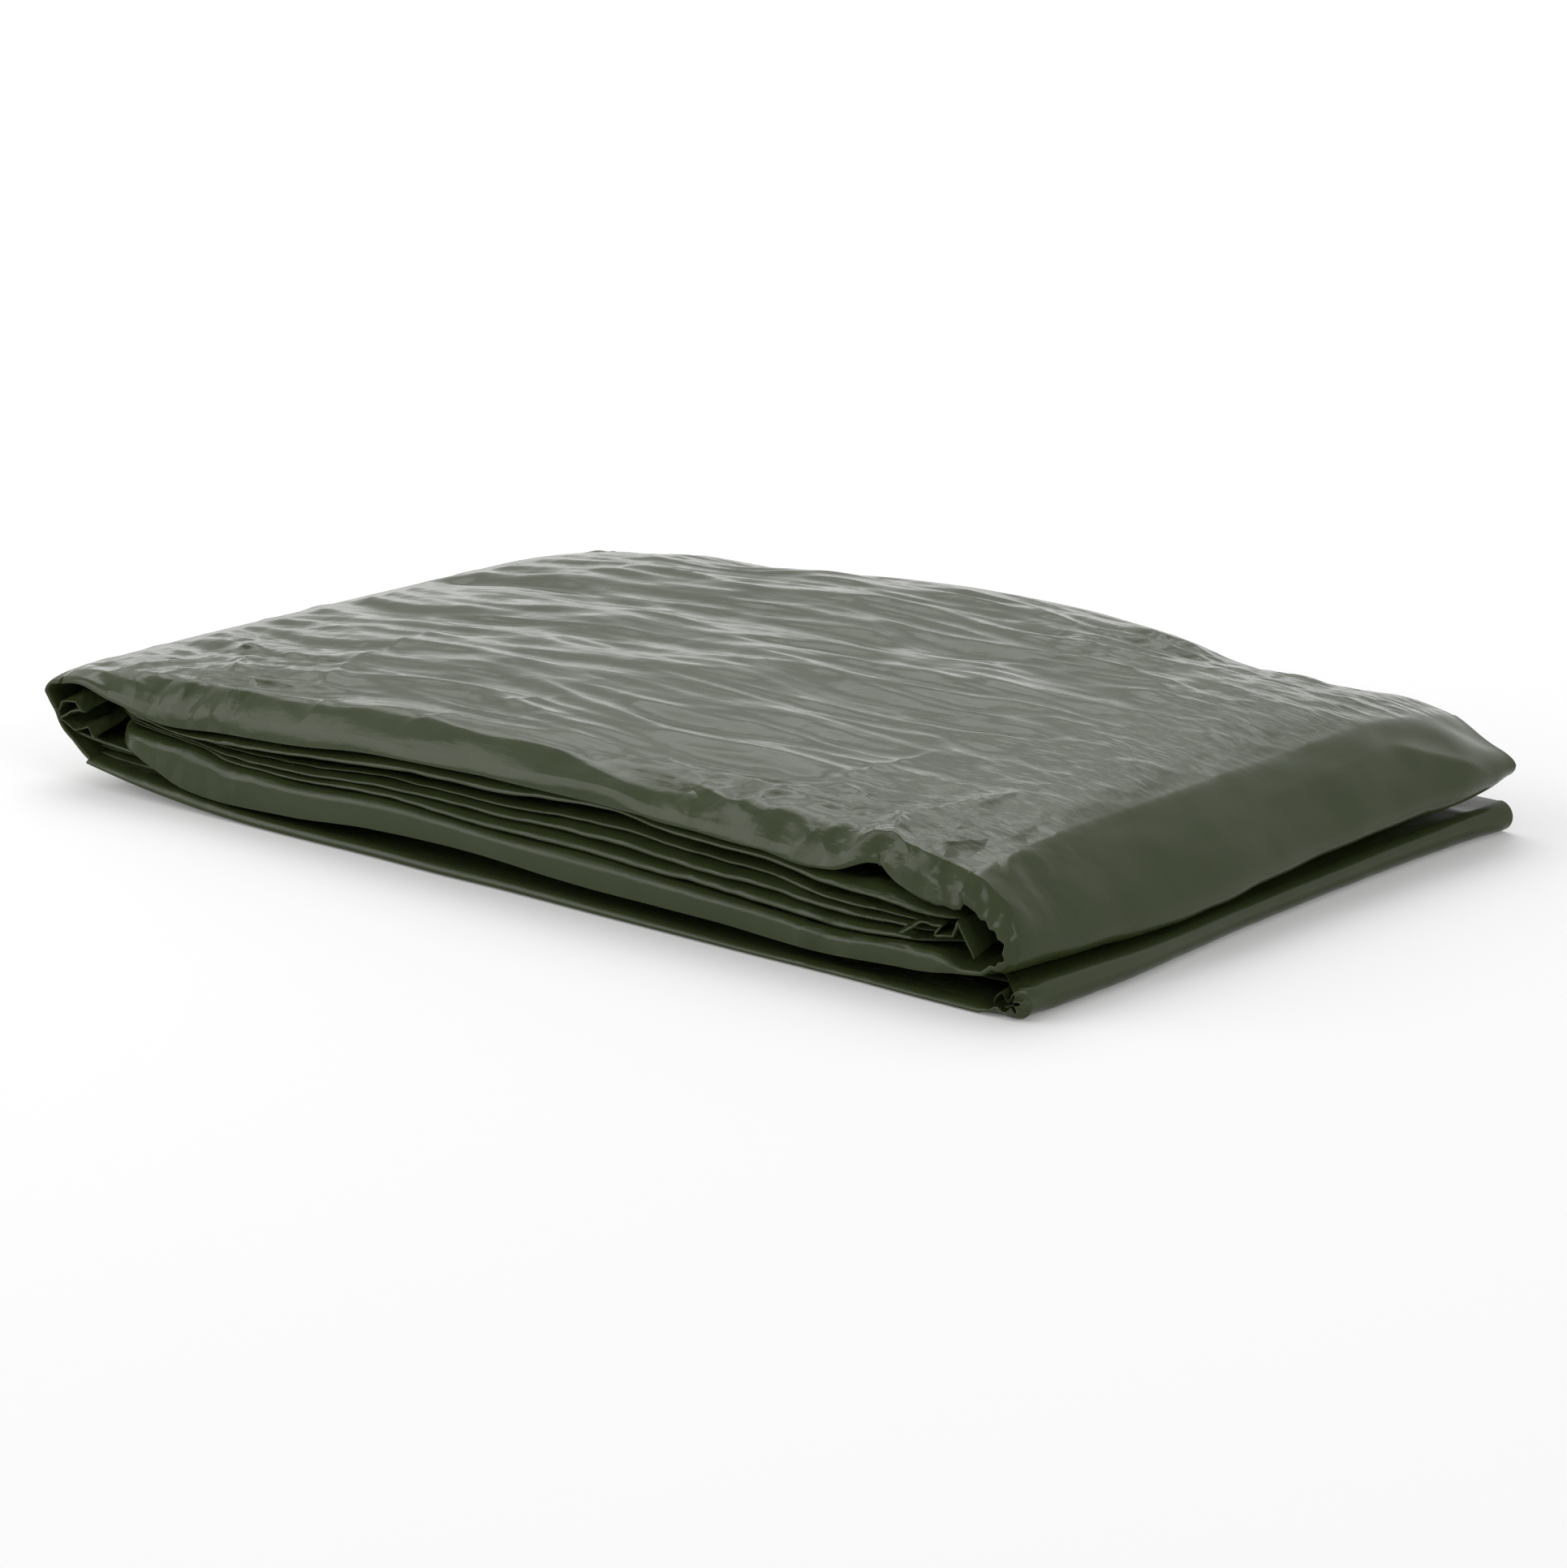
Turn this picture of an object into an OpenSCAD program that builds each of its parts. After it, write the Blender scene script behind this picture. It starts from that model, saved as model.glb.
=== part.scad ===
// Bivy sack of plastic film, packed flat.
// A one-person bag 0.9 m wide and 2 m long is pleated into ten, which gives a strip one pleat wide,
// and the strip is folded in three along its length, the way a letter is. X runs along the strip, Y
// across it and Z up; the origin is on the rest face. From the floor up the packet is the lower
// panel (base sheet, edge fold, cover sheet, with two pleats in the hollow), the middle panel, its
// pleats and the crowned top panel. One outer film joins the top panel to the middle one round the
// upper fold, and to the base round the end loop, where the packet opens.

/* [Packet] */
// Length from the end loop to the upper fold
packet_l = 306; // [250:1:330]
// Width of the pleated strip
packet_w = 200; // [160:1:230]
// How far the looped end is lifted off the ground
curl = 7.5; // [4:0.5:9]
// Length of the stretch that lifts
curl_l = 84; // [60:1:110]
// Sideways lean of the looped end, as x for each mm of y
end_slant = 0.085; // [0:0.005:0.1]
// Sideways drift of the strip between its middle and each end
drift = 4.5; // [0:0.5:6]
// Share of the height that is lost at the corners of the upper fold
corner_press = 0.12; // [0:0.02:0.3]

/* [Lower panel] */
// Height of the lower panel
lower_h = 7.8; // [7:0.1:9]
// Thickness of an outer sheet, with the films that cling to it
sheet_t = 1.2; // [0.8:0.1:1.5]
// Thickness of a pleat in the lower panel
lower_pleat_t = 1.3; // [1:0.1:1.5]
// How far the lower pleats sit back from the front edge
lower_setback = 9; // [4:1:20]
// How far the lower panel's edge fold sits back from the upper fold
edge_setback = 3; // [1:0.5:8]
// Room between the lower pleats and the bend of the edge fold
edge_room = 2; // [1:0.5:5]

/* [Upper pack] */
// Thickness of the middle panel
middle_t = 5.4; // [4:0.2:9]
// Thickness of a pleat between the middle and the top panel
pleat_t = 2.4; // [1.2:0.1:3]
// Height of the top panel's long lips
lip_h = 3.2; // [2:0.1:5]
// Height of the crown over the lips
crown = 11; // [6:0.5:15]
// How flat the crown is across the strip: a low value is round, a high one square
crown_flat = 7; // [2:0.5:8]

/* [Folds] */
// Radius of the lower bend at the looped end
base_bend_r = 4; // [3:0.5:5]
// Radius of the upper bend at the looped end
crown_bend_r = 4; // [3:0.5:5]
// How far the inner panels stop short of the looped end's bends
loop_room = 14; // [8:1:20]
// How much shorter each pleat is than the one under it, at either end
stagger = 3; // [1:0.5:6]
// Radius of the upper fold's tight bend
fold_r = 5.4; // [4:0.2:7]
// Length of the upper fold's sloping face, along X
fold_slope = 19; // [12:1:24]
// How far the middle panel reaches in under the sloping face
middle_reach = 4; // [2:0.5:8]
// Width of the foot weld
weld_w = 10; // [6:1:15]
// Width of the loose films at the bag's mouth
mouth_w = 6; // [3:1:12]
// Length of the gathered film inside the end loop, along Y
loop_tuck_l = 37; // [10:1:60]
// Half height of the gathered film inside the end loop
loop_tuck_r = 3; // [1.5:0.25:3.5]

/* [Hidden] */

$fn = 48;
rest_gap = 0.3;                 // between sheets that only rest on each other
half_l = packet_l / 2;
half_w = packet_w / 2;
lower_fold_r = lower_h / 2;
edge_x = half_l - edge_setback - lower_fold_r;  // centre of the edge fold
base_x = base_bend_r - half_l;                  // where the base sheet meets its bend
crown_x = crown_bend_r - half_l;                // where the crown meets its bend
curl_x = base_x + curl_l;
fold_x = half_l - fold_slope;                   // where the crown meets the upper fold
crown_fall = 0.36 * packet_l;                   // length over which the crown comes down to the fold
tight_x = half_l - fold_r;                      // centre of the upper fold's tight bend

middle_w = lower_h + rest_gap;                  // heights in the flat, uncurled stack
pleats_w = middle_w + middle_t + rest_gap;
pleat_step = pleat_t + rest_gap;
pleat_count = 4;                                // lips that show between the middle and top panels
pleat_x0 = crown_x + 2;                         // ends of the lowest pleat
pleat_x1 = tight_x - 2;
crown_w = pleats_w + pleat_count * pleat_step;
level_w = 60;                                   // the height in the stack that a curl would leave level
end_w = packet_w / cos(atan(end_slant));        // length of the slanted edge
loop_low_z = curl + base_bend_r;
end_top_w = crown_w + lip_h / 2;                // upper side of the crown at the looped end, uncurled
end_top_z = end_top_w + curl * (1 - end_top_w / level_w);
loop_high_z = end_top_z - crown_bend_r;
film_t = 0.4;                                   // a few films, pressed together
shift_x = end_slant * half_w / 2;               // brings the origin under the middle of the packet

film_green = [0.20, 0.25, 0.15];
film_shade = [0.14, 0.18, 0.11];

// ---- how the flat stack bends ----

function clamp(v, lo, hi) = max(lo, min(hi, v));
function smooth(t) = let (c = clamp(t, 0, 1)) c * c * (3 - 2 * c);

// Lift of the ground film at x
function rise(x) = x < curl_x ? curl * pow((curl_x - x) / curl_l, 2) : 0;

// Share of the stack's height that is left at x, y: the corners of the upper fold are pressed flat
function pressed(x, y) =
    1 - corner_press * smooth((x - 0.45 * half_l) / (0.55 * half_l)) * pow(abs(y) / half_w, 4);

// A point of the flat stack, at its place in the packet
function place(p) =
    let (
        flat_z = p[2] <= lower_h ? p[2] : lower_h + (p[2] - lower_h) * pressed(p[0], p[1]),
        lean = smooth(-p[0] / half_l)
    )
    [
        p[0] + shift_x + end_slant * p[1] * lean,
        p[1] - drift * p[0] / half_l,
        flat_z + rise(p[0]) * (1 - flat_z / level_w)
    ];

// Stations from a to b, n steps
function steps(a, b, n) = [for (i = [0:n]) a + (b - a) * i / n];

// Stations from a to b that crowd towards both ends, n steps
function crowded(a, b, n) = [for (i = [0:n]) a + (b - a) * (1 - cos(180 * i / n)) / 2];

// Closed skin over rings of equal, even length, each a list of points of the flat stack.
// A ring runs out along one side and back along the other, so its caps are strips between the two.
module skin(rings) {
    n = len(rings[0]);
    last = (len(rings) - 1) * n;
    polyhedron(
        points = [for (ring = rings) for (p = ring) place(p)],
        faces = [
            for (k = [0:n / 2 - 2]) for (f = split(k + 1, k, n - 1 - k, n - 2 - k)) f,
            for (k = [0:n / 2 - 2]) for (f = split(k, k + 1, n - 2 - k, n - 1 - k)) [for (v = f) last + v],
            for (r = [0:len(rings) - 2]) for (k = [0:n - 1])
                let (a = r * n + k, b = r * n + (k + 1) % n)
                for (f = split(a, b, b + n, a + n)) f
        ],
        convexity = 6
    );
}

// Four corners as two triangles
function split(a, b, c, d) = [[a, b, c], [a, c, d]];

// Share of a sheet's half thickness at y: its long edges are lips of radius r
function lip(y, y0, y1, r) =
    let (inset = min(y - y0, y1 - y)) inset >= r ? 1 : sqrt(1 - pow(1 - inset / r, 2));

// Ring round a sheet at x: under side from y0 to y1, then the upper side back.
// top is a function of x and y, the height of the upper side over the under side.
function sheet_ring(x, y0, y1, w0, top, lip_w) =
    let (ys = crowded(y0, y1, 14), n = len(ys))
    concat(
        [for (y = ys) [x, y, w0 + lip_w * (1 - lip(y, y0, y1, 2 * lip_w))]],
        [for (i = [n - 2:-1:1]) let (y = ys[i])
            [x, y, w0 + lip_w + (top(x, y) - lip_w) * lip(y, y0, y1, 2 * lip_w)]]
    );

// Folded sheet with rounded long edges, from x0 to x1 and y0 to y1, standing at height w0
module sheet(x0, x1, y0, y1, w0, thick) {
    level = function(x, y) thick;
    skin([for (x = steps(x1, x0, 14)) sheet_ring(x, y0, y1, w0, level, thick / 2)]);
}

// Points of an arc in the XZ plane
function arc(cx, cz, r, from, to, n) =
    [for (i = [0:n]) let (a = from + (to - from) * i / n) [cx + r * cos(a), cz + r * sin(a)]];

// Puts a piece on the looped end: its x is counted from the end and its y along the slanted edge
module loop_part() {
    translate([shift_x - half_l, drift, 0]) rotate([0, 0, -atan(end_slant)]) children();
}

// Sector of a round bend whose axis runs across the strip, wall inwards
module bend(cz, r, from, to) {
    loop_part() translate([0, end_w / 2, 0]) rotate([90, 0, 0]) linear_extrude(end_w)
        polygon(concat(arc(r, cz, r, from, to, 12), arc(r, cz, r - sheet_t, to, from, 12)));
}

// ---- lower panel ----

// Bottom film, flat on the ground and curled up at the looped end
module base_sheet() {
    xs = concat([edge_x], steps(curl_x, base_x, 12));
    color(film_green) skin([for (x = xs) [
        [x, -half_w, 0], [x, half_w, 0], [x, half_w, sheet_t], [x, -half_w, sheet_t]
    ]]);
}

// Round edge of the bag that closes the lower panel, a half tube along Y
module edge_fold() {
    ys = steps(-half_w, half_w, 8);
    c = lower_fold_r;
    color(film_green) skin([for (y = ys) [for (p = concat(
        arc(edge_x, c, c, -90, 90, 16), arc(edge_x, c, c - sheet_t, 90, -90, 16)
    )) [p[0], y, p[1]]]]);
}

// Upper film of the lower panel, from the edge fold to short of the loop
module cover_sheet() {
    xs = concat([edge_x], steps(curl_x, crown_x + loop_room, 10));
    w0 = lower_h - sheet_t;
    color(film_shade) skin([for (x = xs) [
        [x, -half_w, w0], [x, half_w, w0], [x, half_w, lower_h], [x, -half_w, lower_h]
    ]]);
}

// Pleats that lie in the lower panel, one on the other
module lower_pleat(i) {
    inset = lower_setback + stagger * i;
    w0 = sheet_t + rest_gap + i * (lower_pleat_t + rest_gap);
    color(film_shade) sheet(
        base_x + loop_room, edge_x - edge_room - stagger * i,
        inset - half_w, half_w - inset / 2, w0, lower_pleat_t
    );
}

// Bend of the outer film from the base up to the loop
module base_bend() {
    color(film_green) bend(loop_low_z, base_bend_r, 180, 264);
}

// ---- end loop ----

// Flat middle of the loop, with a fold line above and below it
module end_loop() {
    color(film_green) loop_part() translate([0, -end_w / 2, loop_low_z + rest_gap / 2])
        cube([sheet_t, end_w, loop_high_z - loop_low_z - rest_gap]);
}

// ---- upper pack ----

// Height of the crowned top over its under side
function dome(x, y) =
    let (
        toward_loop = clamp((x - crown_x) / (0.42 * packet_l), 0, 1),
        toward_fold = clamp((fold_x - x) / crown_fall + 0.55, 0, 1)
    )
    lip_h / 2 + (lip_h / 2) * smooth(4 * toward_loop)
        + crown * smooth(toward_loop) * sqrt(toward_fold) * (1 - pow(abs(y) / (half_w + 2), crown_flat));

module crown_sheet() {
    xs = concat(steps(fold_x, 0, 12), steps(-12, crown_x, 12));
    top = function(x, y) dome(x, y);
    color(film_green)
        skin([for (x = xs) sheet_ring(x, -half_w, half_w, crown_w, top, lip_h / 4)]);
}

// Bend of the outer film from the loop up to the crown
module crown_bend() {
    color(film_green) bend(loop_high_z, crown_bend_r, 96, 180);
}

// Outer film round the end of the top and middle panels: a sloping face and a tight bend under it
module upper_fold() {
    ys = crowded(-half_w, half_w, 16);
    color(film_green) skin([for (y = ys) [for (p = fold_outline(dome(fold_x, y))) [p[0], y, p[1]]]]);
}

// Cubic curve through a, towards b and c, to d
function curve(a, b, c, d, n) = [for (i = [0:n]) let (t = i / n, s = 1 - t)
    s * s * s * a + 3 * s * s * t * b + 3 * s * t * t * c + t * t * t * d];

// Outline of the upper fold, where the crown stands top high over its under side
function fold_outline(top) =
    let (
        high = crown_w + top,
        low = middle_w + fold_r,
        drop = high - low,
        wall = min(sheet_t, top - rest_gap),
        outer = curve(
            [fold_x, high], [fold_x + 0.35 * fold_slope, high - 0.06 * drop],
            [half_l, high - 0.62 * drop], [half_l, low], 10
        ),
        inner = curve(
            [half_l - wall, low], [half_l - wall, high - 0.62 * drop - wall / 2],
            [fold_x + 0.35 * fold_slope - wall / 2, high - 0.06 * drop - wall],
            [fold_x, high - wall], 10
        )
    )
    concat(
        outer,
        [for (p = arc(tight_x, low, fold_r, -15, -90, 5)) p],
        [[fold_x + middle_reach, middle_w], [fold_x + middle_reach, middle_w + wall]],
        [for (p = arc(tight_x, low, fold_r - wall, -90, -15, 5)) p],
        inner
    );

// Thick middle panel, whose free end lies inside the end loop
module middle_sheet() {
    x1 = fold_x + middle_reach - rest_gap;
    color(film_green) sheet(crown_x + loop_room, x1, -half_w, half_w, middle_w, middle_t);
}

// Pleats between the middle and the top panel, counted from the middle panel up. The foot weld
// lies behind the lowest one and the bag's mouth behind the highest.
module pleat(i) {
    w0 = pleats_w + i * pleat_step;
    back_y = half_w - [weld_w, 2, 2, mouth_w][i] - rest_gap;
    color(i % 2 == 0 ? film_green : film_shade) sheet(
        pleat_x0 + stagger * i, pleat_x1 - stagger * i, stagger * i / 2 - half_w, back_y, w0, pleat_t
    );
}

// Flat strip from x0 to x1 and from y0 to the strip's back edge, at height w0
module strip(x0, x1, y0, w0, thick) {
    skin([for (x = steps(x1, x0, 10)) [
        [x, y0, w0], [x, half_w, w0], [x, half_w, w0 + thick], [x, y0, w0 + thick]
    ]]);
}

// Welded foot of the bag, a flat strip behind the lowest pleat
module foot_weld() {
    color(film_shade) strip(
        pleat_x0, pleat_x1, half_w - weld_w, pleats_w + (pleat_t - film_t) / 2, film_t
    );
}

// Open edge of the bag, its two films loose behind the highest pleat
module mouth_edge() {
    w0 = pleats_w + (pleat_count - 1) * pleat_step + pleat_t / 2 - film_t - 0.1;
    color(film_shade) for (side = [0, 1])
        strip(pleat_x0 + 10, pleat_x1 - 6, half_w - mouth_w + side, w0 + side * (film_t + 0.2), film_t);
}

// Gathered film in the mouth of the edge fold, at its front corner
module near_corner_tuck() {
    r = lower_fold_r - sheet_t - rest_gap;
    color(film_shade) skin([for (y = steps(2 - half_w, lower_setback - 1 - half_w, 4))
        [for (a = [0:45:315]) [edge_x - 0.5 + r * cos(a), y, lower_fold_r + r * sin(a)]]]);
}

// Gathered film inside the end loop, under the lowest pleat at its front corner
module loop_corner_tuck() {
    r = loop_tuck_r;
    x = pleat_x0 + r + 2;
    y0 = 3 - half_w;
    color(film_shade) skin([for (y = steps(y0, y0 + loop_tuck_l, 4))
        [for (a = [0:45:315]) [x + (r + 1) * cos(a), y, pleats_w - rest_gap - r + r * sin(a)]]]);
}

base_sheet();
edge_fold();
cover_sheet();
lower_pleat(0);  // lower_pleat_1
lower_pleat(1);  // lower_pleat_2
base_bend();
end_loop();
crown_sheet();
crown_bend();
upper_fold();
middle_sheet();
pleat(0);  // pleat_1
pleat(1);  // pleat_2
pleat(2);  // pleat_3
pleat(3);  // pleat_4
foot_weld();
mouth_edge();
near_corner_tuck();
loop_corner_tuck();
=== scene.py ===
"""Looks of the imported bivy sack: its panels, pleats and folds as creased plastic film."""

import bpy
import numpy as np
from mathutils import Matrix, Vector


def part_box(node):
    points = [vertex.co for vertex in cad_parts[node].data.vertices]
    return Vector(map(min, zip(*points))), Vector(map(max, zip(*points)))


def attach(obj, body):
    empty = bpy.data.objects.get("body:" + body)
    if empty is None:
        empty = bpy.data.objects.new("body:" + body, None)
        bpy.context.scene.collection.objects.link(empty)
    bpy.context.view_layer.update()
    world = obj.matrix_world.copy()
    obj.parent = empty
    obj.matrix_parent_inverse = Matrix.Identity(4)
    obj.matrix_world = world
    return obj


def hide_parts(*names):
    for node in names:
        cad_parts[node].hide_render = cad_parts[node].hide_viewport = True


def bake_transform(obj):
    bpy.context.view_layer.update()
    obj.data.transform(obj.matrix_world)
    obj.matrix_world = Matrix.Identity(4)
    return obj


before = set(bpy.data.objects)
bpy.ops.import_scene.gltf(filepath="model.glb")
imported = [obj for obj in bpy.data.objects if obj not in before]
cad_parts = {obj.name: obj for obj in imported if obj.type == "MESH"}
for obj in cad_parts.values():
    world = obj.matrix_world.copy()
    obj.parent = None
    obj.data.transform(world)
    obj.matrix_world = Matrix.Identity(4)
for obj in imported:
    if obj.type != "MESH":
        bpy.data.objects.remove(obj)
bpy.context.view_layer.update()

MM = 0.001


# ---------------------------------------------------------------- sizes read from the frame, in mm

def mm_box(node):
    """Two corners of a node's box."""
    lo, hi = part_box(node)
    return np.array(lo) / MM, np.array(hi) / MM


LOOP_LO, LOOP_HI = mm_box("end_loop")
FOLD_LO, FOLD_HI = mm_box("upper_fold")
EDGE_LO, EDGE_HI = mm_box("edge_fold")
BASE_BEND_LO, BASE_BEND_HI = mm_box("base_bend")
CROWN_BEND_LO, CROWN_BEND_HI = mm_box("crown_bend")

SHEET_T = 1.2           # thickness of the end loop's solid
SLANT = (LOOP_HI[0] - LOOP_LO[0] - SHEET_T) / (LOOP_HI[1] - LOOP_LO[1])
DRIFT = (LOOP_LO[1] + LOOP_HI[1]) / 2
LEFT_X = (LOOP_LO[0] + LOOP_HI[0] - SHEET_T) / 2     # outer face of the end loop, at mid width
RIGHT_X = FOLD_HI[0]                                 # outer face of the upper fold
MID_X = (LEFT_X + RIGHT_X) / 2
HALF_L = (RIGHT_X - LEFT_X) / 2
HALF_W = (EDGE_HI[1] - EDGE_LO[1]) / 2
CURL = BASE_BEND_LO[2]                               # lift of the ground film at the looped end
LOOP_TOP = CROWN_BEND_HI[2]
LOOP_LOW_FOLD = BASE_BEND_HI[2]
LOOP_HIGH_FOLD = CROWN_BEND_LO[2]
LOWER_TOP = EDGE_HI[2]
MIDDLE_LOW = FOLD_LO[2]
BEND_X = LEFT_X + 4                                  # where the flat runs meet the end loop
SLOPE_X = RIGHT_X - 19                               # where the top meets the upper fold
TIGHT_R = 5.4                                        # radius of the upper fold's tight lower turn
WALL = 1.4                                           # thickness of one film with the air it holds
EDGE_R = LOWER_TOP / 2
EDGE_X = EDGE_HI[0] - EDGE_R                         # centre of the side edge's round


def smooth(t):
    """0 up to t = 0, 1 from t = 1, and a smooth rise between them."""
    t = np.clip(t, 0, 1)
    return t * t * (3 - 2 * t)


def place(x, y, z):
    """A point of the straight packet, with the looped end's slant and the strip's drift."""
    left = (MID_X - x) / HALF_L
    return np.stack([x + SLANT * y * smooth(left), y + DRIFT * left, z], -1)


def track(x, *points):
    """Smooth line through (x, value) points, which does not swing past them."""
    px, pv = np.array(points, float).T
    step = np.abs(np.diff(pv) / np.diff(px))
    limit = 2.5 * np.minimum(np.append(step, step[-1]), np.insert(step, 0, step[0]))
    slope = np.clip(np.gradient(pv, px), -limit, limit)
    k = np.clip(np.searchsorted(px, x) - 1, 0, len(px) - 2)
    h = px[k + 1] - px[k]
    t = np.clip((x - px[k]) / h, 0, 1)
    return ((1 + 2 * t) * (1 - t) ** 2 * pv[k] + t * (1 - t) ** 2 * h * slope[k]
            + t * t * (3 - 2 * t) * pv[k + 1] + t * t * (t - 1) * h * slope[k + 1])


# ---------------------------------------------------------------- creases and waves of the film

def lattice(i, j, seed):
    """An angle for each corner of a square grid, the same each time."""
    h = (i.astype(np.int64) * 374761393 + j.astype(np.int64) * 668265263 + seed * 1274126177) & 0xFFFFFFFF
    h = ((h ^ (h >> 13)) * 1274126177) & 0xFFFFFFFF
    return ((h ^ (h >> 16)) & 0xFFFF) * (2 * np.pi / 65536)


def noise(u, v, seed):
    """Smooth noise of about -1 to 1."""
    u, v = np.broadcast_arrays(np.asarray(u, float), np.asarray(v, float))
    iu, iv = np.floor(u), np.floor(v)
    fu, fv = u - iu, v - iv
    su, sv = fu ** 3 * (fu * (6 * fu - 15) + 10), fv ** 3 * (fv * (6 * fv - 15) + 10)
    corner = []
    for du in (0, 1):
        for dv in (0, 1):
            a = lattice(iu + du, iv + dv, seed)
            corner.append(np.cos(a) * (fu - du) + np.sin(a) * (fv - dv))
    low = corner[0] + sv * (corner[1] - corner[0])
    high = corner[2] + sv * (corner[3] - corner[2])
    return 1.5 * (low + su * (high - low))


def ridged(u, v, seed):
    """Noise with sharp ridges, as folded film has: about -0.5 to 0.5."""
    return 0.5 - 1.6 * np.sqrt(noise(u, v, seed) ** 2 + 0.002)


def folds(x, y, pitch, seed):
    """Crumpled film: flat facets between straight creases that cross at odd angles, about -0.6 to 0.6."""
    height = 0
    for k in range(4):
        turn = 2.4 * (seed + 3 * k)
        along = (x * np.cos(turn) + y * np.sin(turn)) / (pitch * (0.8 + 0.3 * k))
        along = along + 0.45 * noise(x / (2.3 * pitch), y / (2.3 * pitch), seed + k)
        zigzag = 2 * np.abs(along % 1 - 0.5) - 0.5
        shown = 0.5 + noise(x / (1.7 * pitch), y / (1.7 * pitch), seed + 10 + k)
        height = height + zigzag * np.clip(shown, 0, 1)
    return 0.6 * height


def spot(x, y, cx, cy, rx, ry):
    """1 at a centre, falling smoothly to 0 at about twice the radii."""
    return np.exp(-((x - cx) / rx) ** 2 - ((y - cy) / ry) ** 2)


def ridge(x, y, a, b, width, height):
    """Ridge of folded film from a to b: sharp along its line, fading at its ends."""
    a, b = np.array(a, float), np.array(b, float)
    d = b - a
    length = np.hypot(*d)
    along = ((x - a[0]) * d[0] + (y - a[1]) * d[1]) / length
    across = ((x - a[0]) * d[1] - (y - a[1]) * d[0]) / length
    fade = smooth(0.5 + along / (0.5 * length)) * smooth(0.5 + (length - along) / (0.5 * length))
    return height * fade * np.exp(-np.abs(across) / width) * (1 + 0.25 * np.tanh(across / width))


# Ridges that stand out on the top: ends in x, y, then width and height
TOP_RIDGES = [
    ((108, -81), (80, -72), 3.0, 1.0), ((108, -81), (119, -99), 3.5, 1.3),
    ((80, -67), (84, -42), 2.5, 0.7), ((110, -77), (114, -60), 2.2, 0.6),
    ((120, -68), (138, -72), 3.0, 0.7), ((138, -71), (147, -84), 3.0, 0.6),
    ((116, -71), (117, -50), 2.4, 0.5), ((121, -84), (136, -80), 2.5, 0.6),
    ((44, 66), (68, 52), 5.0, 0.9), ((66, 52), (100, 36), 5.0, 0.7),
    ((50, 85), (76, 84), 5.0, 1.5), ((92, 84), (108, 88), 5.0, 1.2),
    ((-120, -69), (-117, -61), 2.5, 0.9), ((-117, -61), (-108, -68), 2.5, 0.9),
    ((-109, -69), (-101, -84), 3.0, 0.9), ((-75, -81), (-82, -61), 3.5, 0.8),
    ((-82, -61), (-86, -31), 4.0, 0.6), ((-66, -99), (-60, -84), 2.0, 0.5),
    ((-35, -94), (-24, -86), 2.0, 0.4), ((-23, -73), (-16, -62), 3.0, 0.4),
    ((57, -92), (70, -95), 2.5, 0.7), ((33, -82), (58, -91), 3.0, 0.7),
    ((70, -95), (74, -84), 2.5, 0.5), ((-128, -40), (-104, -30), 4.0, 0.6),
]

# Crumpled places of the top: weight, centre in x and y, then radii
TOP_CRUMPLES = [
    (0.9, 104, -84, 30, 17), (0.5, -112, -72, 28, 24), (0.15, -55, -86, 50, 14),
    (0.45, 92, 90, 42, 14), (0.15, 45, -88, 50, 14), (0.35, -120, 70, 24, 30),
]


def top_creases(x, y):
    """Height that creases add to the top: long streaks, gathers near the fold and crumpled corners."""
    warp = 5 * noise(x / 70, y / 45, 3)
    long_streaks = 1.35 * ridged(x / 95, (y + warp) / 19, 11)
    long_streaks += 0.75 * ridged(x / 52, (y + warp) / 8.5, 12)
    long_streaks += 0.24 * noise(x / 24, (y + warp) / 4.2, 13)
    fold_side = smooth((x - 88) / 12)
    gathers = 0.22 * noise(x / 9, (y + 0.12 * x) / 2.6, 21)
    gathers += 0.12 * noise(x / 6, (y - 0.15 * x) / 1.9, 22)
    gathers += 0.45 * ridged(x / 26, (y - 0.1 * x) / 11, 23)
    crumple_at = sum(weight * spot(x, y, *place_and_radii) for weight, *place_and_radii in TOP_CRUMPLES)
    crumple = 1.9 * folds(x, y, 15, 31) + 1.0 * folds(x, y, 7.5, 37) + 0.35 * folds(x, y, 3.6, 43)
    height = long_streaks * (1 - 0.8 * fold_side) * (1 + 0.25 * smooth((y + 20) / 60))
    height += gathers * fold_side
    height = height * (1 - 0.6 * np.clip(crumple_at, 0, 1)) + 0.60 * crumple * crumple_at
    height += 1.1 * noise(x / 62, y / 48, 41)
    for a, b, width, tall in TOP_RIDGES:
        height += ridge(x, y, a, b, width, tall)
    return height


def slope_creases(x, y):
    """Soft dents of the folded end, which is drawn smooth."""
    height = 0.9 * noise(x / 26, y / 38, 64) + 0.25 * noise(x / 9, y / 14, 65)
    height += ridge(x, y, (150, 62), (163, 84), 6.0, 1.2)
    height += ridge(x, y, (150, 8), (149, 58), 7.0, 0.7)
    return height + 0.8 * folds(x, y, 9, 66) * spot(x, y, 142, -92, 16, 11)


def plain_creases(x, y, seed, size=1.0):
    """Creases of a panel that lies flat: shallow streaks and a few soft folds."""
    warp = 4 * noise(x / 60, y / 40, seed)
    height = 0.30 * ridged(x / 85, (y + warp) / 12, seed + 1)
    height += 0.10 * noise(x / 30, (y + warp) / 4.5, seed + 2)
    height += 0.35 * ridged(x / 30 + y / 70, y / 24, seed + 3)
    return size * height


# ---------------------------------------------------------------- heights of the panels, in mm

def curl(x):
    """Lift of the ground film at the looped end."""
    return 1.1 * CURL * np.clip((LEFT_X + 74 - x) / 74, 0, 2) ** 1.8


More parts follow.
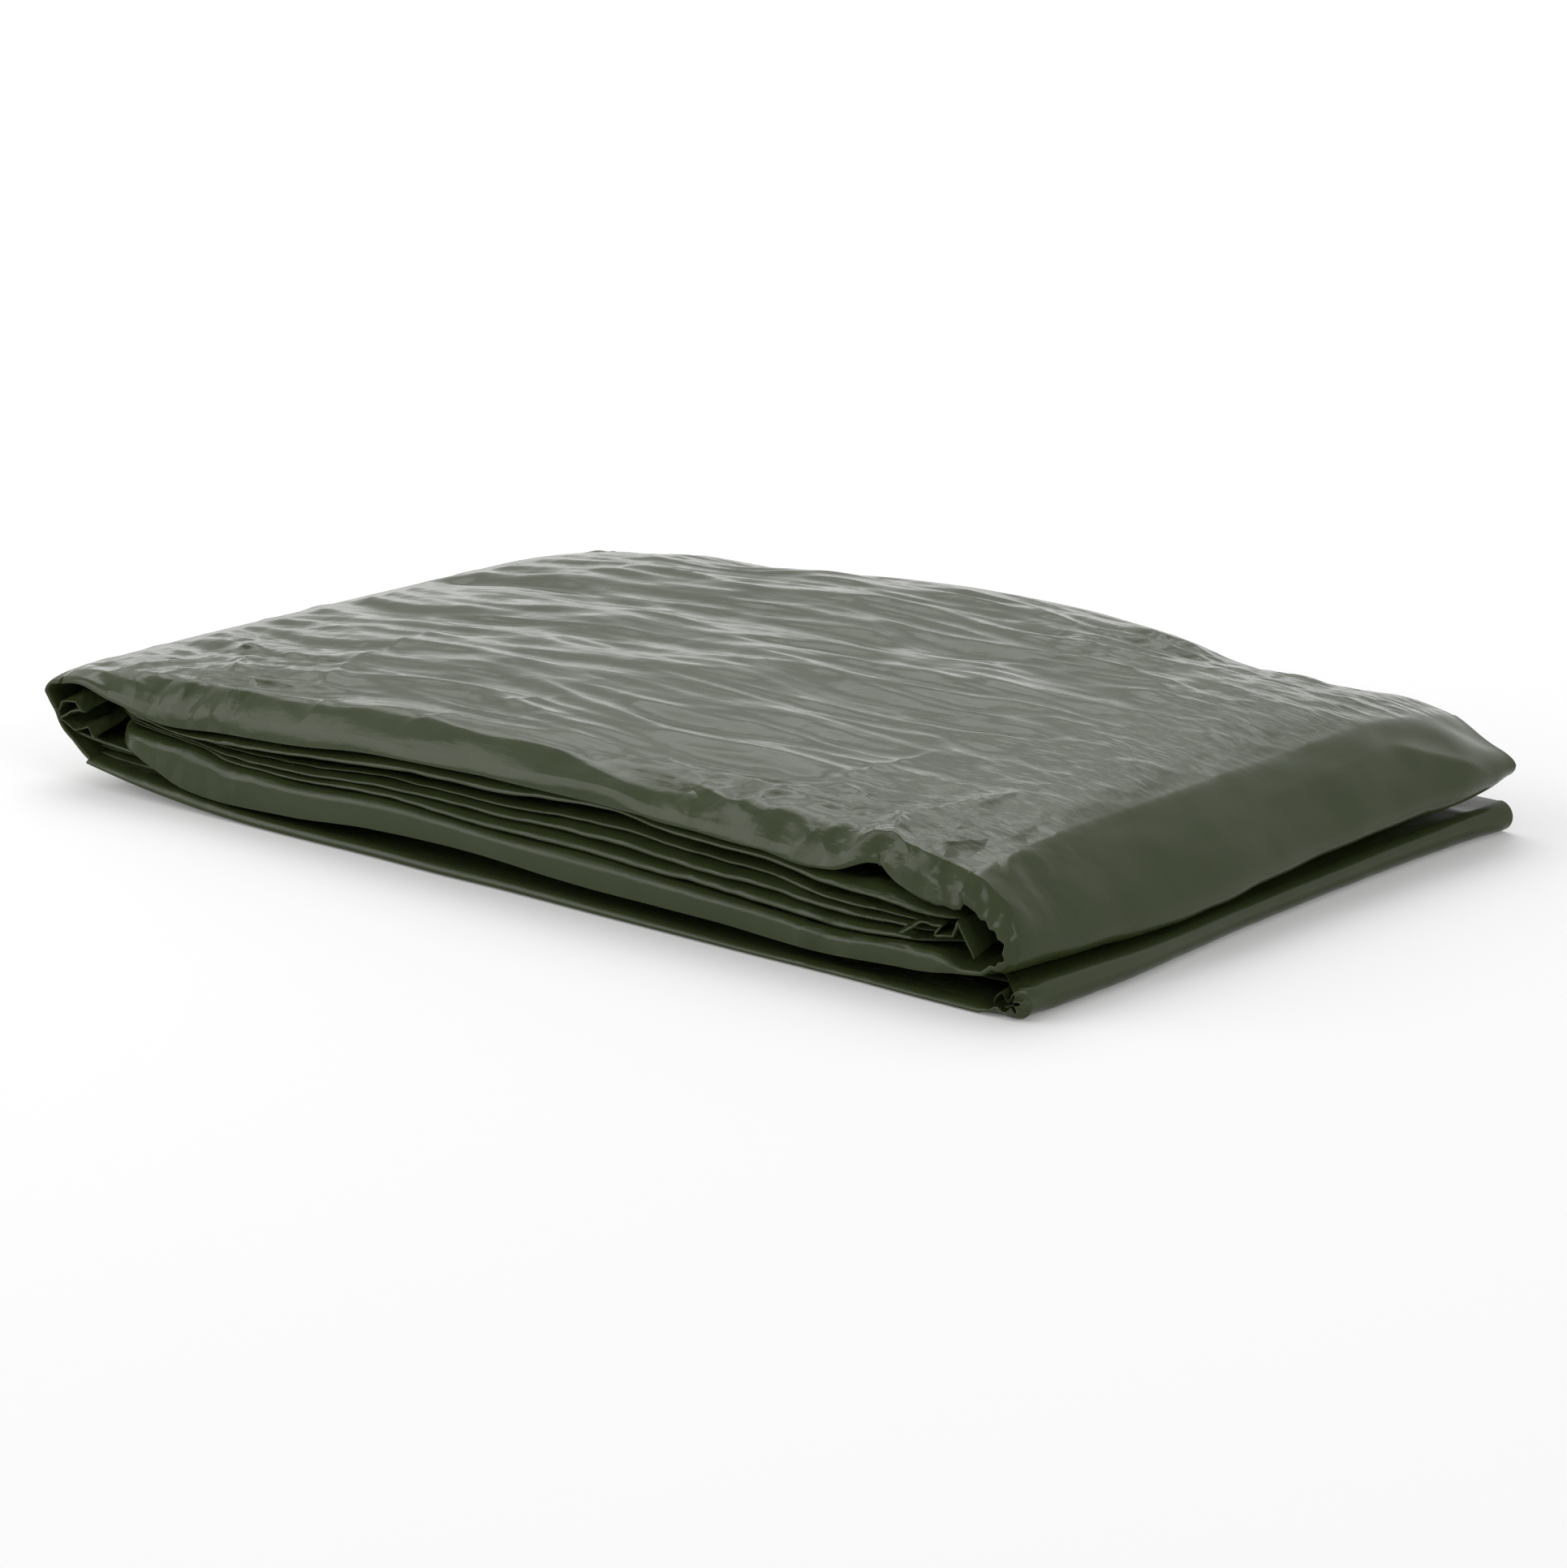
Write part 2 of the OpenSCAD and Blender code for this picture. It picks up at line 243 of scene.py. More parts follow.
def top_lip(x):
    """Lower edge of the top panel's front lip."""
    return track(x, (-150, 21.5), (-144, 24), (-138, 25.3), (-126, 23.2), (-109, 19.8), (-90, 20.9),
                 (-69, 22.2), (-44, 25.1), (-5, 26.6), (20, 28.0), (35, 28.2), (48, 26.4), (64, 25.9),
                 (80, 25.9), (92, 24.4), (101, 24.2), (108, 26.4), (113, 27.4), (122, 23.7), (130, 21.7),
                 (138, 21.8), (146, 20.6))


def second_lip(x):
    """Lower edge of the lip under the top panel's."""
    return track(x, (-140, 21.0), (-124, 20.2), (-109, 18.6), (-97, 18.2), (-85, 18.8), (-69, 19.7),
                 (-44, 22.0), (-5, 23.4), (20, 25.2), (35, 25.9), (48, 24.3), (64, 23.6), (80, 23.2),
                 (98, 21.2), (112, 20.4), (125, 19.4), (142, 18.6))


def middle_top(x):
    """Upper edge of the middle panel's front face."""
    return track(x, (-136, 17.5), (-122, 16.6), (-101, 15.6), (-89, 13.2), (-69, 12.9), (-44, 14.4),
                 (-5, 13.4), (33, 12.8), (64, 11.9), (80, 11.4), (92, 10.6), (105, 10.2), (120, 11.2),
                 (134, 11.6), (150, 12.4))


def middle_low(x):
    """Lower edge of the middle panel's front face, which hangs over the lower panel."""
    return track(x, (-136, 15.0), (-124, 12.8), (-114, 8.4), (-105, 4.4), (-97, 3.3), (-69, 4.2),
                 (-44, 6.5), (-5, 6.9), (33, 5.2), (64, 5.2), (96, 4.3), (116, 5.2), (132, 5.8), (147, 7.9))


def middle_front(x):
    """How far the middle panel's front edge stands back."""
    return track(x, (-132, 14), (-126, 5), (-121, 1.2), (-114, 0.6), (-60, 0.6), (60, 0.6), (150, 0.6))


def top_lip_y(x):
    """How far the top panel's front lip stands back from the strip's front edge."""
    return track(x, (-150, 1.5), (-135, 0.6), (-90, 1.2), (-20, 0.2), (40, 0.4), (92, 0.2), (104, 1.6),
                 (113, 4.0), (122, 1.8), (136, 0.8), (150, 0.5))


def top_crest(x):
    """Height of the top's crest along the packet."""
    return track(x, (-146, LOOP_TOP - 2.0), (-118, 31.8), (-85, 34.6), (-45, 37.2), (0, 38.0), (45, 38.0),
                 (80, 36.8), (105, 35.8), (125, 34.6), (140, 32.2))


def back_lip(x):
    """Height of the top along its back edge."""
    return track(x, (-148, 23.4), (-124, 25.6), (-105, 27.7), (-84, 28.0), (-62, 30.1), (-41, 32.4),
                 (-20, 33.8), (18, 34.1), (36, 33.3), (54, 31.9), (66, 29.7), (73, 28.0), (90, 27.1),
                 (108, 27.4), (125, 28.3), (140, 26.3))


def top_z(x, y):
    """The packet's puffed top, which falls from its crest to a lip at the front and at the back."""
    front, back = y + HALF_W, HALF_W - y
    crest = top_crest(x)
    steep = smooth((x - 102) / 12)                      # the front falls more sharply near the upper fold
    near = ((0.68 + 0.16 * steep) * np.clip(1 - front / (9.5 - 4.5 * steep), 0, 1) ** (1.7 - 0.6 * steep)
            + (0.32 - 0.16 * steep) * np.clip(1 - front / 66, 0, 1) ** 2)
    far = np.clip(1 - back / 46, 0, 1) ** 1.8
    return crest - (crest - top_lip(x) - WALL) * near - (crest - back_lip(x)) * far


def end_lift(y):
    """Rise of the upper pack's underside along the folded end."""
    return track(y, (-100, 1.6), (-84, 1.2), (-58, 0.0), (-27, 0.6), (5, 2.0), (39, 2.8), (74, 3.2),
                 (100, 3.8))


def flare(y):
    """How far the lower fold spreads outward, most by its near corner."""
    return track(y, (-100, 3.4), (-80, 4.0), (-60, 4.1), (-38, 2.8), (-15, 1.2), (10, 0.4), (60, 0.0),
                 (82, 0.9), (100, 2.6))


def fold_height(y):
    """Height of the lower fold along its end."""
    return LOWER_TOP - track(y, (-100, 0), (-80, 0.2), (-50, 1.0), (30, 1.3), (70, 0.8), (100, 0.2))


# ---------------------------------------------------------------- skins

def across(n_out, lip_share=0.22):
    """Shares of the width from front to back, denser at both long edges."""
    t = np.linspace(0, 1, n_out)
    return t - lip_share * np.sin(2 * np.pi * t) / np.pi * 2


def few(n_out, n_in):
    """Indices of a coarser row for the hidden side, keeping its edges dense."""
    ends = min(6, n_in // 3)
    inner = np.linspace(ends, n_out - 1 - ends, n_in - 2 * ends).round().astype(int)
    return np.unique(np.concatenate([np.arange(ends), inner, np.arange(n_out - ends, n_out)]))


def edge_round(shares, width, radius, power):
    """Share of the film's half thickness near its long edges: round at power 2, flat faces above it."""
    gap = np.minimum(shares, 1 - shares) * width
    return np.clip(1 - (1 - np.clip(gap / radius, 0, 1)) ** power, 0, 1) ** (1 / power)


def close(name, outer, inner):
    """Closed mesh from an outer and an inner grid of points, rows along the strip, in mm."""
    rows = outer.shape[0]
    inner = inner[:, 1:-1][:, ::-1]
    ring = np.concatenate([outer, inner], 1)
    n = ring.shape[1]
    r, k = np.meshgrid(np.arange(rows - 1), np.arange(n), indexing="ij")
    a, b = r * n + k, r * n + (k + 1) % n
    quads = np.stack([a, b, b + n, a + n], -1).reshape(-1, 4)
    mesh = bpy.data.meshes.new(name)
    faces = quads.tolist() + [list(range(n))[::-1], list(range((rows - 1) * n, rows * n))]
    mesh.from_pydata((ring.reshape(-1, 3) * MM).tolist(), [], faces)
    smooth_faces = np.ones(len(faces), bool)
    smooth_faces[-2:] = False
    mesh.polygons.foreach_set("use_smooth", smooth_faces)
    mesh.materials.append(FILM)
    mesh.update()
    obj = bpy.data.objects.new(name, mesh)
    bpy.context.scene.collection.objects.link(obj)
    return obj


def film_grid(xs, zs, ys, nx, nz, thick, radius, low_share, shares, keep, power=2.0):
    """Outer and inner points of a strip: rows along it, columns across it.
    xs, zs, ys, thick are grids; nx, nz the unit direction from the outer side to the inner one;
    low_share is where between the inner and the outer side the edge fold lies."""
    width = np.abs(ys[:, -1:] - ys[:, :1])
    full = edge_round(shares[None, :], width, radius, power)
    out_d = thick * (1 - low_share) * (1 - full)
    in_d = thick - thick * low_share * (1 - full)
    outer = place(xs + nx * out_d, ys, zs + nz * out_d)
    inner = place(xs + nx * in_d, ys, zs + nz * in_d)
    return outer, inner[:, keep]


def row_normals(xs, zs):
    """Unit direction in the XZ plane to the right of the way the rows run."""
    dx, dz = np.gradient(xs, axis=0), np.gradient(zs, axis=0)
    size = np.hypot(dx, dz) + 1e-9
    return dz / size, -dx / size


def widths(shares, front, back):
    """Grid of y from a front and a back edge given for each row."""
    return front[:, None] + (back - front)[:, None] * shares[None, :]


def column(parts, values):
    """One column of values, from a value or a column for each part of a strip's rows."""
    return np.concatenate([value + 0 * rows for rows, value in zip(parts, values)])


# ---------------------------------------------------------------- materials

def node_math(tree, op, a, b):
    """Math node on two numbers or sockets."""
    n = tree.nodes.new("ShaderNodeMath")
    n.operation = op
    for i, v in enumerate((a, b)):
        if isinstance(v, (int, float)):
            n.inputs[i].default_value = v
        else:
            tree.links.new(v, n.inputs[i])
    return n.outputs[0]


def film_noise(tree, coords, scale, stretch, detail):
    """Noise over the object, stretched along its axes."""
    mapping = tree.nodes.new("ShaderNodeMapping")
    mapping.inputs["Scale"].default_value = stretch
    tree.links.new(coords, mapping.inputs["Vector"])
    tex = tree.nodes.new("ShaderNodeTexNoise")
    tex.inputs["Scale"].default_value = scale
    tex.inputs["Detail"].default_value = detail
    tree.links.new(mapping.outputs["Vector"], tex.inputs["Vector"])
    return tex.outputs["Fac"]


def ramp(tree, value, start, end):
    """0 before start, 1 after end."""
    n = tree.nodes.new("ShaderNodeMapRange")
    n.inputs["From Min"].default_value, n.inputs["From Max"].default_value = start, end
    tree.links.new(value, n.inputs["Value"])
    return n.outputs["Result"]


def near_spot(tree, coords, at, radius):
    """1 near a point in metres, falling to 0 at the radius."""
    n = tree.nodes.new("ShaderNodeVectorMath")
    n.operation = "DISTANCE"
    tree.links.new(coords, n.inputs[0])
    n.inputs[1].default_value = at
    return ramp(tree, n.outputs["Value"], radius, 0.35 * radius)


WAVE_PITCH = 0.314      # pitch of Blender's wave texture at scale 1, in metres


def crease_bands(tree, coords, turn, pitch):
    """Straight facets between parallel creases, at a pitch in metres."""
    mapping = tree.nodes.new("ShaderNodeMapping")
    mapping.inputs["Rotation"].default_value = (0, 0, turn)
    tree.links.new(coords, mapping.inputs["Vector"])
    tex = tree.nodes.new("ShaderNodeTexWave")
    tex.wave_profile = "TRI"
    tex.inputs["Scale"].default_value = WAVE_PITCH / pitch
    tex.inputs["Distortion"].default_value = 3.0
    tex.inputs["Detail"].default_value = 1.0
    tex.inputs["Detail Scale"].default_value = 0.45
    tree.links.new(mapping.outputs["Vector"], tex.inputs["Vector"])
    shown = ramp(tree, film_noise(tree, coords, 55 + 9 * turn, (1, 1, 1), 1), 0.42, 0.60)
    return node_math(tree, "MULTIPLY", tex.outputs["Fac"], shown)


# Places where the film is crumpled: centre and radius in metres
CRUMPLED = [
    ((0.112, -0.090, 0.028), 0.046), ((-0.114, -0.078, 0.026), 0.044),
    ((0.070, 0.086, 0.030), 0.050), ((0.062, -0.092, 0.030), 0.018),
]
FACETS = [(0.5, 0.0125), (1.6, 0.0100), (2.7, 0.0165)]      # turn in radians and pitch in metres
FACETS_LEAST, FACETS_LEVEL = 0.03, 0.11     # share of the facets that shows anywhere, and more on the top
GATHERS_X = (0.080, 0.104)      # where the gathers set in toward the folded end, in metres
LEVEL_X = (0.142, 0.133)        # where the smooth slope of the folded end gives way to the level top

# Noises of the film: scale, stretch along x, y and z, and detail
DRAWN_NOISE = (260, (0.25, 1.6, 1), 3)
GATHER_NOISE = (210, (0.40, 2.2, 1), 3)
DENT_NOISE = (520, (0.8, 1, 1), 2)
CLOUD_NOISE = (45, (1, 1.6, 1), 4)

# Heights of the fine relief, in mm
DRAWN_HEIGHT, GATHER_HEIGHT, DENT_HEIGHT, FACET_HEIGHT = 0.13, 0.34, 0.035, 0.58

FILM_COLOR = (0.042, 0.056, 0.020)
FILM_DARK = (0.032, 0.043, 0.015)
FILM_ROUGHNESS, ROUGHNESS_SWING = 0.22, 0.16
FILM_IOR = 1.30         # dull face-on and bright at a glancing angle, as thin limp film looks


def film_height(tree, coords):
    """Fine relief of the film in millimetres: drawn lines, dents, gathers and crumpled facets."""
    split = tree.nodes.new("ShaderNodeSeparateXYZ")
    tree.links.new(coords, split.inputs[0])
    gathered = ramp(tree, split.outputs["X"], *GATHERS_X)
    level = ramp(tree, split.outputs["X"], *LEVEL_X)
    drawn = node_math(tree, "MULTIPLY", film_noise(tree, coords, *DRAWN_NOISE), level)
    gathers = node_math(tree, "MULTIPLY", film_noise(tree, coords, *GATHER_NOISE), gathered)
    facets = crease_bands(tree, coords, *FACETS[0])
    for turn, pitch in FACETS[1:]:
        facets = node_math(tree, "ADD", facets, crease_bands(tree, coords, turn, pitch))
    crumpled = node_math(tree, "MULTIPLY_ADD", level, FACETS_LEVEL)
    crumpled.node.inputs[2].default_value = FACETS_LEAST
    for at, radius in CRUMPLED:
        crumpled = node_math(tree, "ADD", near_spot(tree, coords, at, radius), crumpled)
    height = node_math(tree, "MULTIPLY", drawn, DRAWN_HEIGHT)
    for part, size in ((node_math(tree, "MULTIPLY", gathers, level), GATHER_HEIGHT),
                       (film_noise(tree, coords, *DENT_NOISE), DENT_HEIGHT),
                       (node_math(tree, "MULTIPLY", facets, crumpled), FACET_HEIGHT)):
        height = node_math(tree, "ADD", height, node_math(tree, "MULTIPLY", part, size))
    return height


def film_material():
    """Satin polyethylene: olive, with fine drawn lines, small dents and an uneven sheen."""
    mat = bpy.data.materials.new("olive_film")
    mat.use_nodes = True
    tree = mat.node_tree
    bsdf = tree.nodes["Principled BSDF"]
    coords = tree.nodes.new("ShaderNodeTexCoord").outputs["Object"]
    cloud = film_noise(tree, coords, *CLOUD_NOISE)
    mix = tree.nodes.new("ShaderNodeMix")
    mix.data_type = "RGBA"
    tree.links.new(cloud, mix.inputs["Factor"])
    mix.inputs["A"].default_value = (*FILM_DARK, 1)
    mix.inputs["B"].default_value = (*FILM_COLOR, 1)
    tree.links.new(mix.outputs["Result"], bsdf.inputs["Base Color"])
    rough = node_math(tree, "MULTIPLY_ADD", cloud, ROUGHNESS_SWING)
    rough.node.inputs[2].default_value = FILM_ROUGHNESS - ROUGHNESS_SWING / 2
    tree.links.new(rough, bsdf.inputs["Roughness"])
    bsdf.inputs["IOR"].default_value = FILM_IOR
    bump = tree.nodes.new("ShaderNodeBump")
    bump.inputs["Strength"].default_value = 1.0
    bump.inputs["Distance"].default_value = 0.001
    tree.links.new(film_height(tree, coords), bump.inputs["Height"])
    tree.links.new(bump.outputs["Normal"], bsdf.inputs["Normal"])
    return mat


FILM = film_material()


# ---------------------------------------------------------------- the outer film

# Rows of the upper film: along the top, down the slope, round the tight turn, back under the pleats
TOP_X = BEND_X + (SLOPE_X - BEND_X) * np.linspace(0, 1, 380)[:, None]
SLOPE_T = np.linspace(0, 1, 30)[1:, None]
TURN_T = np.linspace(0, 1, 12)[1:, None]
UNDER_X = np.linspace(RIGHT_X - TIGHT_R, BEND_X + 14, 96)[1:, None]
UPPER_PARTS = (TOP_X, SLOPE_T, TURN_T, UNDER_X)
N_TOP, N_UNDER = len(TOP_X), len(UNDER_X)

TIP_Z, TIP_PINCH = 16.2, 0.36       # the folded end's back tip is pressed toward this height, by this share


def upper_edges():
    """Front and back edge of the upper film in y, for each of its rows."""
    front = column(UPPER_PARTS, (top_lip_y(TOP_X) + 0.5 * noise(TOP_X / 23, 0.5, 51), 1.3, 1.1,
                                 middle_front(UNDER_X) + 0.5 * noise(UNDER_X / 31, 0.5, 52)))
    back = column(UPPER_PARTS, (1.0 + 0.9 * noise(TOP_X / 27, 0.5, 53), 0.1, 0.1,
                                0.8 + 0.7 * noise(UNDER_X / 31, 0.5, 54)))
    return -HALF_W + front[:, 0], HALF_W - back[:, 0]


def slope_section(y):
    """The folded end for one row of y: a curve from the top down, then the tight turn's quarter round."""
    high = top_z(SLOPE_X + 0 * y, y)
    slope_in = high - top_z(SLOPE_X - 1 + 0 * y, y)
    low = MIDDLE_LOW + TIGHT_R + end_lift(y)
    reach = RIGHT_X - 0.3 - 3.5 * np.clip(1 - (y + HALF_W) / 50, 0, 1) ** 2
    squarer = (0.36 + 0.40 * np.clip(1 - (y + HALF_W) / 18, 0, 1)
               + 0.25 * np.clip(1 - (HALF_W - y) / 40, 0, 1))
    a, b = (1 - SLOPE_T) ** 3, 3 * (1 - SLOPE_T) ** 2 * SLOPE_T
    c, d = 3 * (1 - SLOPE_T) * SLOPE_T ** 2, SLOPE_T ** 3
    x_slope = a * SLOPE_X + b * (SLOPE_X + 4) + c * (reach - 0.6) + d * reach
    z_slope = a * high + b * (high + 4 * slope_in) + c * (low + squarer * (high - low)) + d * low
    ang = np.pi / 2 * TURN_T
    x_turn = reach - TIGHT_R + TIGHT_R * np.cos(ang)
    z_turn = low - TIGHT_R * np.sin(ang)
    return x_slope, z_slope, x_turn, z_turn


def under_section(y, start_x):
    """Back under the pleats from the tight turn's end. The front edge hangs over the lower panel."""
    xs = UNDER_X + (start_x - (RIGHT_X - TIGHT_R)) * smooth((UNDER_X - 100) / 50)
    flat = MIDDLE_LOW + 0.8 * curl(UNDER_X) + end_lift(y) * smooth((UNDER_X - 110) / 41)
    hang = np.clip(1 - (y + HALF_W) / 16, 0, 1) ** 1.5
    return xs, flat + (middle_low(UNDER_X) - flat) * hang


def upper_section(ys):
    """Grids of x and z of the upper film's outer side before its creases, and of z with no tip pressed."""
    x_slope, z_slope, x_turn, z_turn = slope_section(ys[N_TOP:N_TOP + 1])
    x_under, z_under = under_section(ys[-N_UNDER:], x_turn[-1:])
    xs = np.concatenate([TOP_X + 0 * ys[:N_TOP], x_slope, x_turn, x_under])
    zs = np.concatenate([top_z(TOP_X, ys[:N_TOP]), z_slope, z_turn, z_under])
    tip = smooth((ys - 80) / 20) * smooth((xs - 136) / 16)
    return xs, zs + (TIP_Z - zs) * TIP_PINCH * tip, zs


def near_corner(run):
    """1 along the crumpled front corner by the upper fold."""
    return smooth((run - 98) / 10) * smooth((SLOPE_X + 40 - run) / 10)


def upper_creases(run, ys, from_front, from_back):
    """Height that creases add to the upper film, and its rim that turns in at the corner."""
    on_top = 1 - smooth((run - (SLOPE_X - 10)) / 16)
    bump = top_creases(run, ys) * on_top + slope_creases(run, ys) * (1 - on_top)
    bump[-N_UNDER:] *= smooth(np.arange(N_UNDER)[:, None] / 10)
    edge = np.minimum(smooth(from_front / (7 - 4.5 * near_corner(run))), smooth(from_back / 9))
    bump = bump * (0.15 + 0.85 * edge) * smooth((run - BEND_X) / 9)
    turned_in = smooth((run - (SLOPE_X + 4)) / 8) * smooth((SLOPE_X + 42 - run) / 6)
    zigzag = 0.5 + 2.2 * np.abs(run / 5.5 % 1 - 0.5)
    return bump - turned_in * zigzag * np.clip(1 - from_front / 2.4, 0, 1)


def upper_thickness(run, zs, from_front, is_middle):
    """Thickness of the crown, then of one film round the fold, then of the middle panel."""
    to_wall = smooth((TOP_X - 118) / 16)
    crown = np.maximum(zs[:N_TOP] - np.minimum(top_lip(TOP_X) + 0.5, 27.0), WALL)
    crown = crown * (1 - to_wall) + WALL * to_wall
    middle = np.maximum(middle_top(UNDER_X) - zs[-N_UNDER:], WALL)
    middle = WALL * (1 - is_middle) + middle * is_middle
    thick = np.concatenate([crown, WALL + 0 * zs[N_TOP:-N_UNDER], middle])
    rim = (0.7 + 0.6 * noise(run / 4, 0.5, 63)) * np.exp(-(from_front / 1.6) ** 2)
    return thick + rim * smooth((run - 128) / 6) * smooth((SLOPE_X + 34 - run) / 8)


def upper_film():
    """Top panel, upper fold and middle panel: one strip of film, folded round its pleats."""
    shares = across(260)
    front, back = upper_edges()
    ys = widths(shares, front, back)
    xs, zs, unpressed = upper_section(ys)
    nx, nz = row_normals(xs, zs)
    mid = len(shares) // 2
    run = np.cumsum(np.hypot(np.gradient(xs[:, mid]), np.gradient(zs[:, mid])))[:, None]
    run = run - run[0] + BEND_X                         # the way along the film, about x on the top
    from_front, from_back = ys - front[:, None], back[:, None] - ys
    bump = upper_creases(run, ys, from_front, from_back)
    xs, zs = xs - nx * bump, zs - nz * bump
    ruffle = near_corner(run) * 1.5 * folds(run, zs, 8, 67)
    ys = ys + ruffle * np.clip(from_front / 1.5, 0, 1) * np.clip(1 - from_front / 9, 0, 1)
    is_middle = smooth((144 - UNDER_X) / 10)
    thick = upper_thickness(run, unpressed, from_front, is_middle)
    radius = column(UPPER_PARTS, (1.4, 0.8, 0.9, 0.9 + 4.4 * is_middle))
    low_share = column(UPPER_PARTS, (0.10, 0.5, 0.5, 0.5 + 0.36 * is_middle))
    power = column(UPPER_PARTS, (2.0, 2.0, 2.0, 2.0 + 2.2 * is_middle))
    keep = few(len(shares), 44)
    outer, inner = film_grid(xs, zs, ys, nx, nz, thick, radius, low_share, shares, keep, power)
    return close("outer_film_upper", outer, inner)


LOOP_IN = 14            # how far in the loop's film meets the ground film, from its outermost point


def loop_path(t):
    """Outer side of the end loop in x from its face, and z, from the top (0) to the base (1)."""
    x = track(t, (0, BEND_X - LEFT_X), (0.14, 1.0), (0.32, -1.2), (0.52, 2.2), (0.68, 5.0), (0.84, 9.6),
              (1, LOOP_IN))
    z = track(t, (0, LOOP_TOP), (0.14, LOOP_TOP - 1.8), (0.32, 22.4), (0.52, 17.2), (0.68, 12.8),
              (0.84, 9.3), (1, curl(LEFT_X + LOOP_IN)))
    return x + LEFT_X, z


def loop_film(name, t0, t1):
    """Part of the end loop, from t0 to t1 along its path."""
    shares = across(150)
    t = np.linspace(t0, t1, 30)[:, None]
    x, z = loop_path(t)
    front = -HALF_W + 1.2 + 0.8 * noise(t[:, 0] * 3, 0.3, 71)
    back = HALF_W - 1.2 + 0 * t[:, 0]
    ys = widths(shares, front, back)
    xs, zs = x + 0 * ys, z + 0 * ys
    zs += (top_z(BEND_X + 0 * ys[:1], ys[:1]) - LOOP_TOP) * (1 - smooth(t / 0.42))
    nx, nz = row_normals(xs, zs)
    bump = 0.9 * folds(t * 26, ys, 13, 72) + 0.35 * folds(t * 26, ys, 6, 76)
    bump *= smooth(t / 0.12) * smooth((1 - t) / 0.12)
    xs, zs = xs - nx * bump, zs - nz * bump
    keep = few(len(shares), 60)
    outer, inner = film_grid(xs, zs, ys, -nx, -nz, 1.1 + 0 * ys, 0.9 + 0 * t, 0.5 + 0 * t, shares, keep)
    return close(name, outer, inner)


# Rows of the lower film: along the base, round the side edge, back along the cover
BASE_X = np.linspace(LEFT_X + LOOP_IN, EDGE_X, 230)[:, None]
EDGE_ANG = np.linspace(-90, 90, 26)[1:-1, None] * np.pi / 180
COVER_X = np.linspace(EDGE_X, BEND_X + 3, 120)[:, None]
LOWER_PARTS = (BASE_X, EDGE_ANG, COVER_X)
N_BASE, N_COVER = len(BASE_X), len(COVER_X)


def cover_setback(x):
    """How far the cover sheet stands back from the front edge, clear of the middle panel's hanging lip."""
    return track(x, (-150, 3.0), (-125, 4.0), (-105, 12.0), (-80, 17.5), (120, 17.5), (140, 11.0),
                 (152, 1.2))


def base_thickness(x):
    """Thickness of the ground film's front lip."""
    return track(x, (-140, 1.4), (-100, 2.6), (-10, 2.5), (40, 2.1), (100, 1.6), (140, 1.6), (150, 0.9))


def lower_section(ys):
    """Grids of x and z of the lower film's outer side, before its creases."""
    y_base, y_edge, y_cover = ys[:N_BASE], ys[N_BASE:-N_COVER], ys[-N_COVER:]
    xs = np.concatenate([BASE_X + flare(y_base) * smooth((BASE_X - 118) / 30),
                         EDGE_X + flare(y_edge) + EDGE_R * np.cos(EDGE_ANG),
                         COVER_X + flare(y_cover) * smooth((COVER_X - 118) / 30)])
    to_fold = smooth((COVER_X - 112) / 34)
    z_cover = (LOWER_TOP - 0.1) * (1 - to_fold) + fold_height(y_cover) * to_fold + 0.72 * curl(COVER_X)
    z_edge = fold_height(y_edge[:1]) / 2 * (1 + np.sin(EDGE_ANG))
    return xs, np.concatenate([curl(BASE_X) + 0 * y_base, z_edge, z_cover])


def lower_creases(run, ys, from_front):
    """Height that creases add to the lower film, and the gathered mouth of its side edge."""
    lift = column(LOWER_PARTS, (0.0, 0.35, 0.5))
    bump = np.minimum(plain_creases(run, ys, 83, 0.8), 0.2) * lift * smooth(from_front / 14)
    jag = 1.7 * folds(run, 0.6 * ys, 4.5, 84) * np.exp(-np.abs(ys + HALF_W) / 5)
    jag *= smooth((run - (EDGE_X - 16)) / 8) * smooth((EDGE_X + 22 - run) / 8)
    mouth = smooth((run - (EDGE_X - 9)) / 5) * smooth((EDGE_X + 21 - run) / 5)
    star = 0.9 + 3.4 * np.abs((run + 1.2 * noise(run / 7, 0.5, 85)) / 4.3 % 1 - 0.5)
    return bump + jag * (run > EDGE_X - 2) - mouth * star * np.clip(1 - from_front / 2.4, 0, 1)


def lower_film():
    """Base sheet, the bag's round side edge and the cover sheet: one strip of film."""
    shares = across(150)
    set_front = column(LOWER_PARTS, (0.5 + 0.6 * noise(BASE_X / 33, 0.5, 81), 0.9,
                                     cover_setback(COVER_X) + 0.6 * noise(COVER_X / 33, 0.5, 82)))[:, 0]
    set_back = column(LOWER_PARTS, (0.8, 0.8, 1.5))[:, 0]
    ys = widths(shares, -HALF_W + set_front, HALF_W - set_back)
    xs, zs = lower_section(ys)
    nx, nz = row_normals(xs, zs)
    run = column(LOWER_PARTS, (BASE_X, EDGE_X + EDGE_R * (EDGE_ANG + np.pi / 2),
                               EDGE_X + 12 + (EDGE_X - COVER_X)))
    bump = lower_creases(run, ys, ys + HALF_W - set_front[:, None])
    xs, zs = xs + nx * bump, zs + nz * bump
    thick = column(LOWER_PARTS, (base_thickness(BASE_X), 0.9, 1.0)) + 0 * ys
    radius = column(LOWER_PARTS, (2.4, 0.5, 0.6))
    low_share = column(LOWER_PARTS, (0.86, 0.5, 0.5))
    keep = few(len(shares), 60)
    outer, inner = film_grid(xs, zs, ys, -nx, -nz, thick, radius, low_share, shares, keep)
    return close("outer_film_lower", outer, inner)


# ---------------------------------------------------------------- pleats

